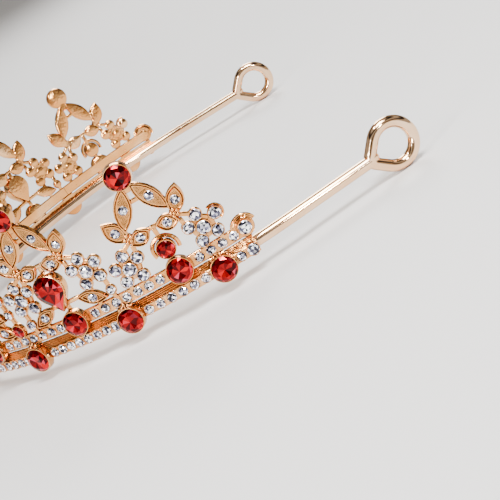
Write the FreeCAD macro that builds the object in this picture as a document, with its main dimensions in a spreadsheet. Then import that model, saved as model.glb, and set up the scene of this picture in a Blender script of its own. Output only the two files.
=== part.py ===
"""Rhinestone tiara: a round band wire with an eyelet bent at each end, nine cast openwork peaks
standing on stone-set rails, and a stone-set gallery strip in three sections below them.

Frame: millimetres, +Z up, front of the tiara towards -Y, open end towards +Y, wearer's sides at +X and -X.
The origin is the centre of the band's arc, level with the eyelets' lowest points.

Places on the ornament are given by an angle round the band (0 at the front, positive towards +X) and
a height above the gallery's row of stones. Sizes along the band are in half pitches: half the distance
from one peak to the next, so the pattern keeps its proportions when the band's radius changes.
"""
import FreeCAD, Part
import Sketcher
import math
import os

V = FreeCAD.Vector
UP = V(0, 0, 1)
doc = FreeCAD.newDocument("tiara")

# ---------------------------------------------------------------------------------------------
# Driving dimensions, in millimetres and degrees
# ---------------------------------------------------------------------------------------------
SIZES = (
    ("band_radius", 77.0, "centre line of the band wire's arc"),
    ("wire_dia", 2.75, "band wire"),
    ("toe_in", 5.5, "angle by which the arc runs past each side before the straight arms"),
    ("arm_length", 21.6, "straight wire from the arc to the eyelet's neck"),
    ("eye_radius", 4.8, "eyelet, to the middle of its wire"),
    ("eye_tip", 1.5, "tip of the eyelet's teardrop, to the middle of its wire"),
    ("eye_reach", 6.2, "neck of the eyelet to the eyelet's centre"),
    ("eye_lift", 0.5, "eyelet's centre above the arm's centre line"),
    ("wire_above_row", 0.5, "wire centre above the gallery's row of stones"),
    ("plate_thick", 1.0, "castings' plates and strips"),
    ("gallery_low", 1.2, "gallery strip below its row of stones"),
    ("gallery_high", 2.8, "gallery strip above its row of stones"),
    ("lug_rise", 0.45, "slit between gallery and rails, which the lugs fill"),
    ("rail_height", 2.8, "rail under each peak"),
    ("lean", 4.0, "peaks lean outwards by this angle"),
    ("peak_pitch", 19.2, "angle from one peak to the next"),
    ("end_angle", 88.9, "angle at which the ornament ends"),
    ("side_height", 28.9, "last peak's crown stone above the gallery row"),
    ("tier_rise", 4.1, "growth from one peak to the next, one tier of leaves"),
    ("row_stone", 2.2, "diameter of the small clear stones"),
    ("flower_stone", 3.1, "diameter of the clear stone in the middle of a flower"),
    ("petal_stone", 2.7, "diameter of the clear stones round it"),
    ("red_stone", 5.7, "diameter of the large red stones"),
    ("bud_stone", 4.1, "diameter of the small red stones"),
    ("seed_stone", 3.2, "diameter of the red stones among the lowest leaves"),
    ("pear_width", 6.8, "pear-shaped red stone"),
    ("pear_length", 9.0, "pear-shaped red stone"),
    ("cup_wall", 0.25, "metal round a stone"),
    ("glue_gap", 0.05, "clearance between a stone and its cup"),
    ("casting_gap", 0.12, "clearance between neighbouring castings"),
    ("leaf_width", 4.1, "openwork leaf, across its middle"),
    ("leaf_rim", 0.5, "raised edge of a leaf"),
    ("leaf_recess", 0.35, "depth of a leaf's floor below its rim"),
    ("disc_radius", 2.7, "disc behind a flower, which joins its cups"),
    ("twig_width", 1.0, "flat bars between the leaves and cups"),
    ("twig_thick", 0.85, "the same bars, square to the wall"),
    ("knot_radius", 1.15, "round knots where leaves meet"),
    ("arch_width", 0.9, "arch over a hanging bud stone"),
)
sheet = doc.addObject("Spreadsheet::Sheet", "Sizes")
for row, (alias, value, meaning) in enumerate(SIZES, start=1):
    sheet.set(f"A{row}", meaning)
    sheet.set(f"B{row}", str(value))
    sheet.setAlias(f"B{row}", alias)
doc.recompute()


def size(alias):
    return float(sheet.get(alias))


BAND_R = size("band_radius")
WIRE_R = size("wire_dia") / 2
PLATE = size("plate_thick")
CUP_WALL = size("cup_wall")
GLUE = size("glue_gap")
HALF_PITCH = BAND_R * math.radians(size("peak_pitch")) / 2
WIRE_Z = size("eye_radius") + WIRE_R - size("eye_lift")  # the eyelets' lowest points are at Z = 0
ROW_Z = WIRE_Z - size("wire_above_row")
RAIL_LOW = size("gallery_high") + size("lug_rise")  # heights from here on are above the gallery row
RAIL_ROW = RAIL_LOW + size("rail_height") / 2
RAIL_TOP = RAIL_LOW + size("rail_height")
PEAKS = 4  # on each side of the centre one
CENTRE_TIERS = 5
SMALL = size("row_stone") / 2
FLOWER = size("flower_stone") / 2
PETAL = size("petal_stone") / 2
RED = size("red_stone") / 2
BUD = size("bud_stone") / 2
SEED = size("seed_stone") / 2

# A stone's proportions, as shares of its diameter
CROWN_SHARE = 0.16
GIRDLE_SHARE = 0.05
PAVILION_SHARE = 0.36
TABLE_SHARE = 0.56
CUP_FLOOR = 0.2  # metal left behind the point of a stone
TWIG_LIFT = 0.15  # flat bars stand this far off the castings' back


# ---------------------------------------------------------------------------------------------
# Places on the ornament
# ---------------------------------------------------------------------------------------------
def wall_frame(angle, height):
    """Placement on the back of the openwork: local X runs along the band, Y up the wall, Z outwards."""
    theta = math.radians(angle)
    outward = V(math.sin(theta), -math.cos(theta), 0)
    along = V(math.cos(theta), math.sin(theta), 0)
    lean = math.radians(size("lean")) if height > RAIL_ROW else 0.0
    normal = outward * math.cos(lean) - UP * math.sin(lean)
    wall_up = UP * math.cos(lean) + outward * math.sin(lean)
    radius = BAND_R + WIRE_R + max(0.0, height - RAIL_ROW) * math.tan(lean)
    place = outward * radius + UP * (ROW_Z + height)
    return FreeCAD.Placement(place, FreeCAD.Rotation(along, wall_up, normal))


def degrees_of(arc):
    """The angle that a length along the band wire spans."""
    return math.degrees(arc / BAND_R)


def across_of(angle):
    """The half pitches that an angle spans."""
    return math.radians(angle) * BAND_R / HALF_PITCH


# ---------------------------------------------------------------------------------------------
# Elements, made in local axes: X and Y in the wall's plane, Z outwards from the castings' back
# ---------------------------------------------------------------------------------------------
def cup_height(diameter):
    """A cup's lip is level with the top of its stone's girdle."""
    return CUP_FLOOR + (PAVILION_SHARE + GIRDLE_SHARE) * diameter


def round_cup(radius):
    return Part.makeCylinder(radius + CUP_WALL, cup_height(2 * radius))


def round_pocket(radius):
    """The hollow of a cup: a cone for the stone's point and a cylinder for its girdle, open outwards."""
    mouth = cup_height(2 * radius)
    seat = CUP_FLOOR + PAVILION_SHARE * 2 * radius
    profile = [
        V(0, 0, CUP_FLOOR - GLUE),
        V(radius + GLUE, 0, seat - GLUE),
        V(radius + GLUE, 0, mouth + PLATE),
        V(0, 0, mouth + PLATE),
    ]
    return Part.Face(Part.makePolygon(profile + profile[:1])).revolve(V(0, 0, 0), UP, 360)


def polygon_face(points):
    return Part.Face(Part.makePolygon(list(points) + [points[0]]))


def faceted(outline, diameter):
    """A foil-backed stone: flat table, one ring of crown facets, girdle and a pointed pavilion."""
    seat = CUP_FLOOR + PAVILION_SHARE * diameter
    girdle = seat + GIRDLE_SHARE * diameter
    table = girdle + CROWN_SHARE * diameter

    def ring(share, level):
        return [corner * share + UP * level for corner in outline]

    rings = [ring(1.0, seat), ring(1.0, girdle), ring(TABLE_SHARE, table)]
    point = UP * CUP_FLOOR
    count = len(outline)
    faces = [polygon_face(rings[2])]
    for i in range(count):
        j = (i + 1) % count
        faces.append(polygon_face([point, rings[0][j], rings[0][i]]))
        for low, high in zip(rings, rings[1:]):
            faces.append(polygon_face([low[i], low[j], high[j], high[i]]))
    solid = Part.Solid(Part.Shell(faces))
    if solid.Volume < 0:
        solid.reverse()
    return solid


def round_outline(radius, count):
    turns = [2 * math.pi * (i + 0.5) / count for i in range(count)]
    return [V(radius * math.cos(a), radius * math.sin(a), 0) for a in turns]


def round_stone(radius):
    return faceted(round_outline(radius, 8 if radius < BUD else 12), 2 * radius)


def pear_wire(grow=0.0):
    """A pear outline, point down: a round head and two straight sides that meet at the point."""
    head = size("pear_width") / 2
    reach = size("pear_length") - head  # from the head's centre to the point
    slope = math.asin(head / reach)
    head += grow
    tip = V(0, -head / math.sin(slope), 0)
    right = V(head * math.cos(slope), -head * math.sin(slope), 0)
    left = V(-right.x, right.y, 0)
    top = V(0, head, 0)
    edges = [Part.LineSegment(tip, right), Part.Arc(right, top, left), Part.LineSegment(left, tip)]
    return Part.Wire([edge.toShape() for edge in edges])


def pear_prism(grow, low, high):
    prism = Part.Face(pear_wire(grow)).extrude(UP * (high - low))
    prism.translate(UP * low)
    return prism


def pear_stone():
    head = size("pear_width") / 2
    reach = size("pear_length") - head
    slope = math.asin(head / reach)
    sweep = math.pi + 2 * slope
    turns = [-slope + sweep * i / 11 for i in range(12)]
    outline = [V(head * math.cos(a), head * math.sin(a), 0) for a in turns]
    outline.append(V(0, -reach, 0))
    return faceted(outline, size("pear_width"))


def lens(length, width, low, high):
    """A pointed leaf along local X: two arcs that meet at its tips."""
    left, right = V(-length / 2, 0, low), V(length / 2, 0, low)
    edges = [
        Part.Arc(left, V(0, width / 2, low), right).toShape(),
        Part.Arc(right, V(0, -width / 2, low), left).toShape(),
    ]
    return Part.Face(Part.Wire(edges)).extrude(UP * (high - low))


class Openwork:
    """Collects what one casting is made of: metal to join, hollows to cut, and the stones they hold.

    Places are across, in half pitches from the casting's middle, and height. A motif is flat: what it
    holds is laid out in the plane that touches the wall at the motif's own place."""

    def __init__(self, angle):
        self.angle = angle  # of the casting's middle
        self.metal = []
        self.hollows = []
        self.clear = []
        self.red = []
        self.motif = None

    def at(self, across):
        """The angle of a place given in half pitches from the casting's middle."""
        return self.angle + degrees_of(across * HALF_PITCH)

    def put(self, shape, across, height, spin=0.0):
        """A copy of a shape made in local axes, turned by spin in the wall's plane and put in place."""
        origin = self.motif or (across, height)
        offset = V((across - origin[0]) * HALF_PITCH, height - origin[1], 0)
        copy = shape.copy()
        copy.rotate(V(0, 0, 0), UP, spin)
        copy.translate(offset)
        copy.transformShape(wall_frame(self.at(origin[0]), origin[1]).toMatrix())
        return copy

    def stone(self, across, height, radius, red=False):
        self.metal.append(self.put(round_cup(radius), across, height))
        self.hollows.append(self.put(round_pocket(radius), across, height))
        (self.red if red else self.clear).append(self.put(round_stone(radius), across, height))

    def pear(self, height):
        diameter = size("pear_width")
        mouth = cup_height(diameter)
        self.metal.append(self.put(pear_prism(CUP_WALL, 0.0, mouth), 0, height))
        self.hollows.append(self.put(pear_prism(GLUE, CUP_FLOOR - GLUE, mouth + PLATE), 0, height))
        self.red.append(self.put(pear_stone(), 0, height))

    def notch(self, across, height, radius):
        """Room for a neighbouring casting's cup."""
        room = Part.makeCylinder(radius + size("casting_gap"), 4 * PLATE, V(0, 0, -PLATE))
        self.hollows.append(self.put(room, across, height))

    def slanted(self, start, end):
        """Length, spin and middle of a straight piece between two places."""
        (x0, z0), (x1, z1) = start, end
        run, rise = (x1 - x0) * HALF_PITCH, z1 - z0
        spin = math.degrees(math.atan2(rise, run))
        return math.hypot(run, rise), spin, (x0 + x1) / 2, (z0 + z1) / 2

    def leaf(self, start, end, width, radius=None):
        """A leaf between two places, with a recessed floor and a stone in its middle."""
        length, spin, across, height = self.slanted(start, end)
        rim = size("leaf_rim")
        top = PLATE + size("leaf_recess")
        floor = lens(length - 4 * rim, width - 2 * rim, PLATE, top + PLATE)
        body = lens(length, width, 0.0, top).cut(floor)
        self.metal.append(self.put(body, across, height, spin))
        if radius:
            self.stone(across, height, radius)

    def disc(self, across, height, radius, thick):
        """A round plate, a little clear of the castings' back."""
        plate = Part.makeCylinder(radius, thick, V(0, 0, TWIG_LIFT))
        self.metal.append(self.put(plate, across, height))

    def twig(self, start, end):
        """A flat bar between two places, a little clear of the castings' back."""
        length, spin, across, height = self.slanted(start, end)
        width = size("twig_width")
        bar = Part.makeBox(length, width, size("twig_thick"), V(-length / 2, -width / 2, TWIG_LIFT))
        self.metal.append(self.put(bar, across, height, spin))


# ---------------------------------------------------------------------------------------------
# Strips: a sketched section turned round the band's axis, its sizes bound to the sheet
# ---------------------------------------------------------------------------------------------
INNER = "Sizes.band_radius + Sizes.wire_dia / 2"
ROW_HEIGHT = "(Sizes.eye_radius + Sizes.wire_dia / 2 - Sizes.eye_lift - Sizes.wire_above_row)"


def strip(name, low, height, first, last, thick="Sizes.plate_thick"):
    """A body: a rectangle above the XY plane, turned from angle first to angle last."""
    body = doc.addObject("PartDesign::Body", name)
    plane = next(f for f in body.Origin.OriginFeatures if f.Role == "XZ_Plane")
    sketch = body.newObject("Sketcher::SketchObject", name + "_section")
    sketch.AttachmentSupport = (plane, [""])
    sketch.MapMode = "FlatFace"
    x0, z0 = BAND_R + WIRE_R, ROW_Z
    x1, z1 = x0 + PLATE, z0 + 2 * PLATE
    corners = [V(x0, z0, 0), V(x1, z0, 0), V(x1, z1, 0), V(x0, z1, 0)]
    for i in range(4):
        sketch.addGeometry(Part.LineSegment(corners[i], corners[(i + 1) % 4]), False)
        if i:
            sketch.addConstraint(Sketcher.Constraint("Coincident", i - 1, 2, i, 1))
    sketch.addConstraint(Sketcher.Constraint("Coincident", 3, 2, 0, 1))
    for edge, way in ((0, "Horizontal"), (2, "Horizontal"), (1, "Vertical"), (3, "Vertical")):
        sketch.addConstraint(Sketcher.Constraint(way, edge))
    bound = (
        ("inner", "DistanceX", (-1, 1, 0, 1), INNER),
        ("low", "DistanceY", (-1, 1, 0, 1), f"{ROW_HEIGHT} + {low}"),
        ("thick", "DistanceX", (0, 1, 0, 2), thick),
        ("height", "DistanceY", (1, 1, 1, 2), height),
    )
    for label, kind, ends, formula in bound:
        index = sketch.addConstraint(Sketcher.Constraint(kind, *ends, 1.0))
        sketch.renameConstraint(index, label)
        sketch.setExpression(f"Constraints.{label}", formula)
    turned = body.newObject("PartDesign::Revolution", name + "_turn")
    turned.Profile = sketch
    turned.ReferenceAxis = (sketch, ["V_Axis"])
    turned.Angle = last - first
    body.Placement = FreeCAD.Placement(V(0, 0, 0), FreeCAD.Rotation(UP, first - 90))
    return body


def shape_object(name, shapes):
    """A plain feature that holds shapes made with Part's functions."""
    feature = doc.addObject("Part::Feature", name)
    feature.Shape = Part.makeCompound(shapes)
    return feature


def joined(name, bodies, metal, hollows):
    """One casting: strips and openwork joined, then the stones' hollows cut out of it."""
    doc.recompute()
    strips = [body.Shape for body in bodies]
    casting = doc.addObject("Part::Feature", name)
    casting.Shape = strips[0].fuse(strips[1:] + metal).cut(hollows)
    return casting


def mirrored(name, source):
    copy = doc.addObject("Part::Mirroring", name)
    copy.Source = source
    copy.Base = V(0, 0, 0)
    copy.Normal = V(1, 0, 0)
    return copy


nodes = {}  # node name: document object


# ---------------------------------------------------------------------------------------------
# Band wire: an arc, two straight arms and an eyelet bent at each end
# ---------------------------------------------------------------------------------------------
def eyelet(neck, arm):
    """A closed teardrop of wire, standing upright at the end of an arm: a ring, two sides and a tip."""
    ring, tip, reach, lift = (size("eye_" + word) for word in ("radius", "tip", "reach", "lift"))
    span = reach - tip  # between the centres of the ring and the tip
    slope = math.asin((ring - tip) / span)
    run = math.sqrt(reach**2 - lift**2)
    axis = (arm * run + UP * lift) * (1 / reach)
    across = (UP * run - arm * lift) * (1 / reach)
    centre = neck + axis * reach

    def place(back, rise):
        return centre - axis * back + across * rise

    def touch(radius, shift, way):
        """Where a side touches the ring or the tip."""
        return place(shift + radius * math.sin(slope), way * radius * math.cos(slope))

    corners = [touch(ring, 0, 1), touch(ring, 0, -1), touch(tip, span, -1), touch(tip, span, 1)]
    edges = [
        Part.Arc(corners[0], place(-ring, 0), corners[1]),
        Part.LineSegment(corners[1], corners[2]),
        Part.Arc(corners[2], place(span + tip, 0), corners[3]),
        Part.LineSegment(corners[3], corners[0]),
    ]
    heading = corners[0] - corners[3]
    section = Part.Wire([Part.Circle(corners[0], heading, WIRE_R).toShape()])
    return Part.Wire([edge.toShape() for edge in edges]).makePipeShell([section], True, False)


def band_wire():
    radius = "Sizes.wire_dia / 2"
    toe = math.radians(size("toe_in"))
    arc = doc.addObject("Part::Torus", "band_arc")
    arc.setExpression("Radius1", "Sizes.band_radius")
    arc.setExpression("Radius2", radius)
    arc.setExpression("Angle3", "180 + 2 * Sizes.toe_in")
    arc.Placement = FreeCAD.Placement(V(0, 0, WIRE_Z), FreeCAD.Rotation(UP, 180 - size("toe_in")))
    bend = V(BAND_R * math.cos(toe), BAND_R * math.sin(toe), WIRE_Z)
    heading = V(-math.sin(toe), math.cos(toe), 0)  # direction of the right arm, towards the eyelet
    arm = doc.addObject("Part::Cylinder", "arm")
    arm.setExpression("Radius", radius)
    arm.setExpression("Height", "Sizes.arm_length")
    arm.Placement = FreeCAD.Placement(bend, FreeCAD.Rotation(UP, heading))
    eye = doc.addObject("Part::Feature", "eyelet")
    eye.Shape = eyelet(bend + heading * size("arm_length"), heading)
    right = [arm, eye]
    fused = doc.addObject("Part::MultiFuse", "band_wire")
    fused.Shapes = [arc] + right + [mirrored(piece.Name + "_left", piece) for piece in right]
    nodes["band_wire"] = fused


# ---------------------------------------------------------------------------------------------
# Gallery: three strips with a row of stones, red stones and lugs up to the rails
# ---------------------------------------------------------------------------------------------
FIRST_RED = 9.0  # angle of the gallery's first red stone from the front
RED_STEP = 19.0
END_RED = 82.6
GALLERY_SPLIT = FIRST_RED + 1.5 * RED_STEP  # halfway between two red stones
BAY_STONES = 8
CENTRE_BAY_STONES = 7
END_BAY_STONES = 6
RED_SIDE = 4.27  # from a red stone's middle to the next clear stone's
SPLIT_SIDE = 1.415  # from the split to the stone on each side of it
END_STEP = 2.8  # between the last two stones, of which the last is larger
LUG_WIDTH = 3.4
LUG_PROUD = 0.5
LUG_DROP = 1.2  # the lug starts this far below the top of the strip


def spread(first, last, count):
    return [first + (last - first) * i / (count - 1) for i in range(count)]


def bay(first, last, count):
    """Angles of the clear stones between two red ones."""
    margin = degrees_of(RED_SIDE)
    return spread(first + margin, last - margin, count)


def notches(work, first, last):
    """Room in a gallery for the cups of the rails' red stones."""
    margin = degrees_of(RED + CUP_WALL)
    for i in range(-PEAKS, PEAKS + 1):
        angle = i * size("peak_pitch")
        if first - margin < angle < last + margin:
            work.notch(across_of(angle - work.angle), RAIL_ROW, RED + CUP_WALL)


def lug(name, angle):
    half = degrees_of(LUG_WIDTH / 2)
    low = f"Sizes.gallery_high - {LUG_DROP}"
    height = f"Sizes.lug_rise + {LUG_DROP}"
    return strip(name, low, height, angle - half, angle + half, f"Sizes.plate_thick + {LUG_PROUD}")


def gallery(name, first, last, reds, stones):
    work = Openwork((first + last) / 2)
    for angle in reds:
        work.stone(across_of(angle - work.angle), 0.0, RED, red=True)
    for angle, radius in stones:
        work.stone(across_of(angle - work.angle), 0.0, radius)
    notches(work, first, last)
    low, height = "-Sizes.gallery_low", "Sizes.gallery_low + Sizes.gallery_high"
    gap = degrees_of(size("casting_gap") / 2)
    pieces = [strip(name + "_strip", low, height, first + gap, last - gap)]
    pieces += [lug(f"{name}_lug_{i}", angle) for i, angle in enumerate(reds)]
    nodes[name] = joined(name, pieces, work.metal, work.hollows)
    nodes[name + "_clear_stones"] = shape_object(name + "_clear_stones", work.clear)
    nodes[name + "_red_stones"] = shape_object(name + "_red_stones", work.red)


def galleries():
    reds = [FIRST_RED + i * RED_STEP for i in range(4)] + [END_RED]
    margin, split = degrees_of(RED_SIDE), degrees_of(SPLIT_SIDE)
    half = BAY_STONES // 2
    half_centre = bay(reds[0], reds[1], BAY_STONES)
    half_centre += spread(reds[1] + margin, GALLERY_SPLIT - split, half)
    centre = bay(-reds[0], reds[0], CENTRE_BAY_STONES) + half_centre + [-angle for angle in half_centre]
    centre_reds = [-reds[1], -reds[0], reds[0], reds[1]]
    stones = [(angle, SMALL) for angle in centre]
    gallery("gallery_centre", -GALLERY_SPLIT, GALLERY_SPLIT, centre_reds, stones)
    side = spread(GALLERY_SPLIT + split, reds[2] - margin, half)
    side += bay(reds[2], reds[3], BAY_STONES) + bay(reds[3], reds[4], END_BAY_STONES) + [END_RED + margin]
    stones = [(angle, SMALL) for angle in side] + [(side[-1] + degrees_of(END_STEP), PETAL)]
    gallery("gallery_right", GALLERY_SPLIT, size("end_angle"), reds[2:], stones)
    for part in ("", "_clear_stones", "_red_stones"):
        nodes["gallery_left" + part] = mirrored("gallery_left" + part, nodes["gallery_right" + part])


# ---------------------------------------------------------------------------------------------
# Peaks: a rail with stones, and the openwork that stands on it
# ---------------------------------------------------------------------------------------------
BAY_GAP = 0.735  # half pitches from a peak's middle to its rail's first clear stone
BAY_ROW = 7  # clear stones on the rails between two peaks
FLOWER_ACROSS = 0.68  # flower's middle, in half pitches
FLOWER_DROP = 18.9  # flower's middle below the crown stone
PETALS = ((92, 0.35), (152, 0.25), (236, 0.2), (314, 0.2), (22, 0.25))  # direction, web to the middle cup
END_PETALS = PETALS[:4] + ((22, 0.9),)
PETAL_ROOT = 0.6  # where a petal's bar starts, as a share of the middle stone's radius
TIER_FOOT = 7.5  # lowest tier's leaf above the gallery row
LEAF_RATE = 8.2  # usual length of a leaf in the column under the pendant
LEAF_LAP = 0.2  # a leaf of that column runs into its neighbours by this much
HOOK_DROP = 13.4  # top of the pendant's bar below the crown stone
PEAR_DROP = 15.2  # top of a pear below the crown stone
BUD_DROP = 18.8  # middle of a bud stone below the crown stone
ARCH_GAP = 0.15  # between a bud stone's cup and the arch over it
ARCH_SWEEP = 220
ARCH_START = -20  # degrees from the side, so the arch's two feet hang a little below the stone's middle
LOBE_RISE = 0.5  # the rail's last stone above its row
LOBE_STEP = 0.05  # and outward, in steps of the row
LOBE_WALL = 3  # its plate's rim in cup walls

# The crest, right half. A place is half pitches across and millimetres below the crown stone.
CREST_LEAVES = (  # both ends, and the width as a share of a leaf's
    ((0.06, 2.4), (0.43, 11.6), 1.0),  # long leaf
    ((0.43, 13.6), (0.70, 7.4), 1.0),  # side leaf
    ((0.05, 13.3), (0.46, 14.7), 0.92),  # cross leaf
)
CREST_TWIGS = (
    ((0.42, 11.0), (0.44, 14.2)),
    ((0.44, 13.6), (0.67, 15.2)),
    ((0.45, 14.6), (0.47, 17.3)),
)
CREST_TIES = ((0.14, 6.4), (0.1, 13.4))  # bars from side to side
CREST_KNOTS = ((0.44, 12.9), (-0.44, 12.9), (0.0, 3.2))

# One tier, right half, as half pitches across and millimetres above the tier's own level
TIER_LEAF = (0.25, 2.2), (0.76, -0.7)
TIER_TWIG = 2.0  # from the middle of the peak to the leaf, at this height
TIER_BAR = 0.3
TIER_STONE = 0.86, 0.4
SEED_PLACE = 0.86, 0.2
TIER_SHARE = 0.8  # of a leaf's usual width


def flower(work, side, height, petals):
    """A clear stone with five round it. Returns the places of its two lowest petals."""
    work.motif = side * FLOWER_ACROSS, height
    work.stone(side * FLOWER_ACROSS, height, FLOWER)
    work.disc(side * FLOWER_ACROSS, height, size("disc_radius"), size("twig_thick"))
    feet = []
    for turn, web in petals:
        run = math.cos(math.radians(turn)) / HALF_PITCH
        rise = math.sin(math.radians(turn))
        reach = FLOWER + PETAL + web
        across, level = FLOWER_ACROSS + reach * run, height + reach * rise
        work.stone(side * across, level, PETAL)
        root = PETAL_ROOT * FLOWER
        start = side * (FLOWER_ACROSS + root * run), height + root * rise
        work.twig(start, (side * across, level))
        if turn > 180:
            feet.append((side * across, level - PETAL / 2))
    return feet


def crest(work, crown):
    """Crown stone, the two long leaves below it, and a side leaf and a cross leaf on each side."""
    work.motif = 0, crown
    work.stone(0, crown, RED, red=True)
    for side in (-1, 1):
        for (x0, drop0), (x1, drop1), share in CREST_LEAVES:
            width = share * size("leaf_width")
            work.leaf((side * x0, crown - drop0), (side * x1, crown - drop1), width, SMALL)
        for (x0, drop0), (x1, drop1) in CREST_TWIGS:
            work.twig((side * x0, crown - drop0), (side * x1, crown - drop1))
    for across, drop in CREST_TIES:
        work.twig((-across, crown - drop), (across, crown - drop))
    for across, drop in CREST_KNOTS:
        work.disc(across, crown - drop, size("knot_radius"), PLATE)


def arch(work, height):
    """A flat arch over the bud stone that hangs at this height."""
    inner = BUD + CUP_WALL + ARCH_GAP
    sector = Part.makeCylinder(inner + size("arch_width"), PLATE, V(0, 0, 0), UP, ARCH_SWEEP)
    ring = sector.cut(Part.makeCylinder(inner, 2 * PLATE))
    work.metal.append(work.put(ring, 0, height, ARCH_START))


def pendant(work, crown, pear):
    """What hangs under the crest: a pear or a bud stone, and a column of leaves down to the rail's red."""
    work.motif = 0, crown
    foot = RAIL_ROW + RED + CUP_WALL
    if pear:
        head = crown - PEAR_DROP - size("pear_width") / 2
        work.pear(head)
        bottom = head - (size("pear_length") - size("pear_width") / 2)
    else:
        head = crown - BUD_DROP
        work.stone(0, head, BUD, red=True)
        arch(work, head)
        bottom = head - BUD - CUP_WALL
    work.twig((0, crown - HOOK_DROP), (0, head))
    work.twig((0, head), (0, RAIL_ROW))
    count = round((bottom - foot) / LEAF_RATE)
    share = (bottom - foot) / max(count, 1)
    for i in range(count):
        low = foot + i * share - LEAF_LAP
        high = foot + (i + 1) * share + LEAF_LAP
        work.leaf((0, low), (0, high), size("leaf_width"), SMALL)


def tiers(work, side, count, seed):
    """Slanting leaves between the rail and the flower, with a stone beside each."""
    work.motif = side * 0.5, TIER_FOOT
    (x0, rise0), (x1, rise1) = TIER_LEAF
    for i in range(count):
        level = TIER_FOOT + i * size("tier_rise")
        start, end = (side * x0, level + rise0), (side * x1, level + rise1)
        work.leaf(start, end, TIER_SHARE * size("leaf_width"), SMALL)
        work.twig((0, level + TIER_TWIG), (side * TIER_BAR, level + TIER_TWIG))
        if seed and i == 0:
            work.stone(side * SEED_PLACE[0], level + SEED_PLACE[1], SEED, red=True)
        else:
            work.stone(side * TIER_STONE[0], level + TIER_STONE[1], SMALL)


def rail_row(work, side, count, step):
    for i in range(count):
        work.stone(side * (BAY_GAP / 2 + i * step), RAIL_ROW, SMALL)


def lobe(work, across):
    """The rail's last stone, larger than the rest, on a round plate of its own."""
    work.stone(across, RAIL_ROW + LOBE_RISE, FLOWER)
    plate = Part.makeCylinder(FLOWER + LOBE_WALL * CUP_WALL, PLATE)
    work.metal.append(work.put(plate, across, RAIL_ROW + LOBE_RISE))


def peak(name, angle, tier_count, pear=False, seed=False, last=False, centre=False):
    """One casting. Its inner side is the one towards the front, at smaller angles."""
    work = Openwork(angle)
    crown = size("side_height") + tier_count * size("tier_rise")
    step = (2 - BAY_GAP) / (BAY_ROW - 1)
    near = BAY_ROW // 2 if centre else BAY_ROW - BAY_ROW // 2
    far = 4 if last else BAY_ROW // 2
    work.stone(0, RAIL_ROW, RED, red=True)
    rail_row(work, -1, near, step)
    rail_row(work, 1, far, step)
    if last:
        lobe(work, BAY_GAP / 2 + (far + LOBE_STEP) * step)
    crest(work, crown)
    pendant(work, crown, pear)
    for side in (-1, 1):
        petals = END_PETALS if last and side == 1 else PETALS
        for foot in flower(work, side, crown - FLOWER_DROP, petals):
            work.twig(foot, (foot[0], RAIL_ROW))
        tiers(work, side, tier_count, seed and side == 1)
    first = work.at(-(BAY_GAP / 2 + (near - 0.5) * step))
    final = size("end_angle") if last else work.at(BAY_GAP / 2 + (far - 0.5) * step)
    gap = degrees_of(size("casting_gap") / 2)
    low = "Sizes.gallery_high + Sizes.lug_rise"
    rail = strip(name + "_rail", low, "Sizes.rail_height", first + gap, final - gap)
    nodes[name] = joined(name, [rail], work.metal, work.hollows)
    nodes[name + "_clear_stones"] = shape_object(name + "_clear_stones", work.clear)
    nodes[name + "_red_stones"] = shape_object(name + "_red_stones", work.red)


def peaks():
    peak("centre_peak", 0.0, CENTRE_TIERS, pear=True, centre=True)
    for i, word in enumerate(("first", "second", "third", "last"), start=1):
        right = f"{word}_peak_right"
        angle = i * size("peak_pitch")
        peak(right, angle, PEAKS - i, pear=i % 2 == 1, seed=i == 2, last=i == PEAKS)
        for part in ("", "_clear_stones", "_red_stones"):
            nodes[f"{word}_peak_left{part}"] = mirrored(f"{word}_peak_left{part}", nodes[right + part])


# ---------------------------------------------------------------------------------------------
# Build, check and write
# ---------------------------------------------------------------------------------------------
band_wire()
galleries()
peaks()
doc.recompute()

for item in doc.Objects:
    if "Invalid" in item.State or "Error" in item.State:
        raise SystemExit(f"{item.Label} failed: {item.State}")
for name, item in nodes.items():
    item.Label = name
    if item.Shape.isNull() or not item.Shape.isValid():
        raise SystemExit(f"{name} has no valid shape")
os.makedirs("parts", exist_ok=True)
for name, item in nodes.items():
    item.Shape.exportStep(f"parts/{name}.step")
    print(f"{name}: {len(item.Shape.Solids)} solids, {item.Shape.Volume:.1f} mm3")
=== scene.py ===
# %% [markdown]
# # A rhinestone tiara
# A costume tiara is cast in flat pieces from a soft white metal, bent to the curve of a head and
# soldered to one round wire. Then it is plated rose gold, and glass stones are glued into its cups.
# The castings, the wire and the stones are three different crafts, so each gets its own cells here.
#
# The engineering model is loaded first. It never moves, and every piece below is laid over it.

# %% Load the frame
import bmesh
import bpy
import math
import random
from mathutils import Matrix, Vector


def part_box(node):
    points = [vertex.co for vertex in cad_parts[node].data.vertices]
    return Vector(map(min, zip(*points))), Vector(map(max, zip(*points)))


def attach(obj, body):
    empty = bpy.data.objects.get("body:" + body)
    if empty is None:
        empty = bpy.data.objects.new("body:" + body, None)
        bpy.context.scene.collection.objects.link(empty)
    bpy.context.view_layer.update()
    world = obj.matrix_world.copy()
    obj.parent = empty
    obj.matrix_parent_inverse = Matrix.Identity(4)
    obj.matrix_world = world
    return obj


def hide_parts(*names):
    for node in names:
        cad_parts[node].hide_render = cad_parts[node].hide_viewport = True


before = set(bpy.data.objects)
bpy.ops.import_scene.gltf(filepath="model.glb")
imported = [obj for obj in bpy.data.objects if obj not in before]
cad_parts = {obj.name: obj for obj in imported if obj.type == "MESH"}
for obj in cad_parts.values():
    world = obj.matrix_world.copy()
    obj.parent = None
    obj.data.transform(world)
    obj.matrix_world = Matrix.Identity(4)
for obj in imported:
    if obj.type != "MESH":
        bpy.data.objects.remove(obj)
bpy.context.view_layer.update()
print("frame:", len(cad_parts), "nodes")

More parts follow.
